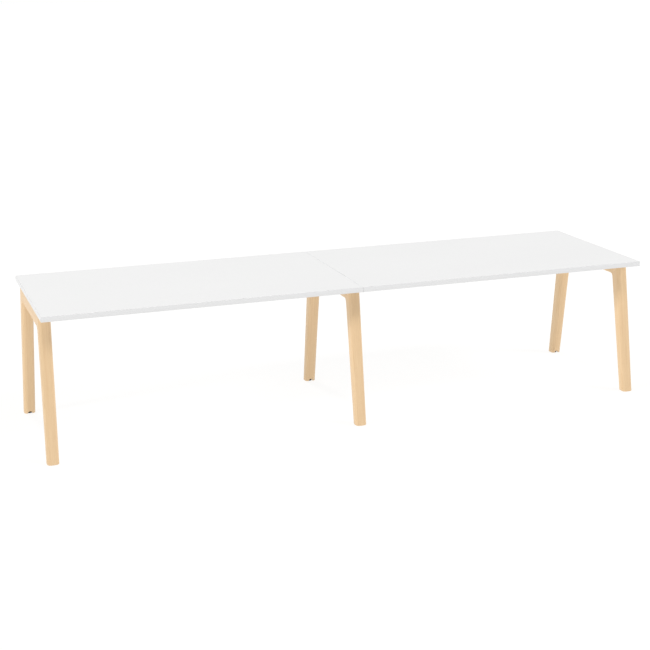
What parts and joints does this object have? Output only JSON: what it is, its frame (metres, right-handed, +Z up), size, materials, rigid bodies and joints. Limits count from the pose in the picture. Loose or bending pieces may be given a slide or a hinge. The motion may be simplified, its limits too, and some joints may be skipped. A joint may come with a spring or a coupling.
{
  "type": "two-bay meeting table",
  "caption": "Long rectangular table: a white top in two panels on splayed solid-wood A-frames tied by steel beams, with levelling feet.",
  "frame": {"origin": "on the floor under the middle of the table", "axes": "+X along the table to the right-hand end, +Y towards its back, +Z up; the near side is -Y"},
  "size_m": [3.2, 0.9, 0.735],
  "materials": {
    "white_laminate": "matt white melamine-faced chipboard",
    "white_edging": "2 mm matt white plastic edging",
    "light_wood": "light solid oak or ash, clear matt lacquer",
    "tenon_wood": "plain beech, glued in",
    "white_powder_coat": "fine white powder coat on steel",
    "zinc_plated_steel": "bright zinc plate",
    "black_plastic": "black moulded nylon"
  },
  "bodies": {
    "table": {"top_panel_left": "white_laminate", "edge_band_left_front": "white_edging", "edge_band_left_back": "white_edging", "edge_band_left_end": "white_edging", "edge_band_left_seam": "white_edging", "top_panel_right": "white_laminate", "edge_band_right_front": "white_edging", "edge_band_right_back": "white_edging", "edge_band_right_end": "white_edging", "edge_band_right_seam": "white_edging", "cross_rail_left": "light_wood", "cross_rail_middle": "light_wood", "cross_rail_right": "light_wood", "leg_left_front": "light_wood", "leg_left_back": "light_wood", "leg_middle_front": "light_wood", "leg_middle_back": "light_wood", "leg_right_front": "light_wood", "leg_right_back": "light_wood", "tenon_left_front": "tenon_wood", "tenon_left_back": "tenon_wood", "tenon_middle_front": "tenon_wood", "tenon_middle_back": "tenon_wood", "tenon_right_front": "tenon_wood", "tenon_right_back": "tenon_wood", "beam_left_front": "white_powder_coat", "beam_left_back": "white_powder_coat", "beam_right_front": "white_powder_coat", "beam_right_back": "white_powder_coat", "seam_plate_front": "zinc_plated_steel", "seam_plate_back": "zinc_plated_steel", "foot_insert_left_front": "zinc_plated_steel", "foot_insert_left_back": "zinc_plated_steel", "foot_insert_middle_front": "zinc_plated_steel", "foot_insert_middle_back": "zinc_plated_steel", "foot_insert_right_front": "zinc_plated_steel", "foot_insert_right_back": "zinc_plated_steel"},
    "pad_left_front": {"foot_pad_left_front": "black_plastic"},
    "stem_left_front": {"foot_stem_left_front": "zinc_plated_steel", "foot_wheel_left_front": "black_plastic"},
    "pad_left_back": {"foot_pad_left_back": "black_plastic"},
    "stem_left_back": {"foot_stem_left_back": "zinc_plated_steel", "foot_wheel_left_back": "black_plastic"},
    "pad_middle_front": {"foot_pad_middle_front": "black_plastic"},
    "stem_middle_front": {"foot_stem_middle_front": "zinc_plated_steel", "foot_wheel_middle_front": "black_plastic"},
    "pad_middle_back": {"foot_pad_middle_back": "black_plastic"},
    "stem_middle_back": {"foot_stem_middle_back": "zinc_plated_steel", "foot_wheel_middle_back": "black_plastic"},
    "pad_right_front": {"foot_pad_right_front": "black_plastic"},
    "stem_right_front": {"foot_stem_right_front": "zinc_plated_steel", "foot_wheel_right_front": "black_plastic"},
    "pad_right_back": {"foot_pad_right_back": "black_plastic"},
    "stem_right_back": {"foot_stem_right_back": "zinc_plated_steel", "foot_wheel_right_back": "black_plastic"}
  },
  "joints": [
    {"name": "pad_travel_left_front", "type": "slide", "parent": "table", "child": "pad_left_front", "axis": [0, 0, -1], "range_m": [0, 0.01]},
    {"name": "stem_turn_left_front", "type": "hinge", "parent": "pad_left_front", "child": "stem_left_front", "pos_m": [-1.566, -0.4, 0], "axis": [0, 0, -1], "range_deg": [0, 2880]},
    {"name": "pad_travel_left_back", "type": "slide", "parent": "table", "child": "pad_left_back", "axis": [0, 0, -1], "range_m": [0, 0.01]},
    {"name": "stem_turn_left_back", "type": "hinge", "parent": "pad_left_back", "child": "stem_left_back", "pos_m": [-1.566, 0.4, 0], "axis": [0, 0, -1], "range_deg": [0, 2880]},
    {"name": "pad_travel_middle_front", "type": "slide", "parent": "table", "child": "pad_middle_front", "axis": [0, 0, -1], "range_m": [0, 0.01]},
    {"name": "stem_turn_middle_front", "type": "hinge", "parent": "pad_middle_front", "child": "stem_middle_front", "pos_m": [0, -0.4, 0], "axis": [0, 0, -1], "range_deg": [0, 2880]},
    {"name": "pad_travel_middle_back", "type": "slide", "parent": "table", "child": "pad_middle_back", "axis": [0, 0, -1], "range_m": [0, 0.01]},
    {"name": "stem_turn_middle_back", "type": "hinge", "parent": "pad_middle_back", "child": "stem_middle_back", "pos_m": [0, 0.4, 0], "axis": [0, 0, -1], "range_deg": [0, 2880]},
    {"name": "pad_travel_right_front", "type": "slide", "parent": "table", "child": "pad_right_front", "axis": [0, 0, -1], "range_m": [0, 0.01]},
    {"name": "stem_turn_right_front", "type": "hinge", "parent": "pad_right_front", "child": "stem_right_front", "pos_m": [1.566, -0.4, 0], "axis": [0, 0, -1], "range_deg": [0, 2880]},
    {"name": "pad_travel_right_back", "type": "slide", "parent": "table", "child": "pad_right_back", "axis": [0, 0, -1], "range_m": [0, 0.01]},
    {"name": "stem_turn_right_back", "type": "hinge", "parent": "pad_right_back", "child": "stem_right_back", "pos_m": [1.566, 0.4, 0], "axis": [0, 0, -1], "range_deg": [0, 2880]}
  ],
  "couplings": [
    {"joint": "stem_turn_left_front", "follows": "pad_travel_left_front", "rad_per_m": 5026.5},
    {"joint": "stem_turn_left_back", "follows": "pad_travel_left_back", "rad_per_m": 5026.5},
    {"joint": "stem_turn_middle_front", "follows": "pad_travel_middle_front", "rad_per_m": 5026.5},
    {"joint": "stem_turn_middle_back", "follows": "pad_travel_middle_back", "rad_per_m": 5026.5},
    {"joint": "stem_turn_right_front", "follows": "pad_travel_right_front", "rad_per_m": 5026.5},
    {"joint": "stem_turn_right_back", "follows": "pad_travel_right_back", "rad_per_m": 5026.5}
  ]
}
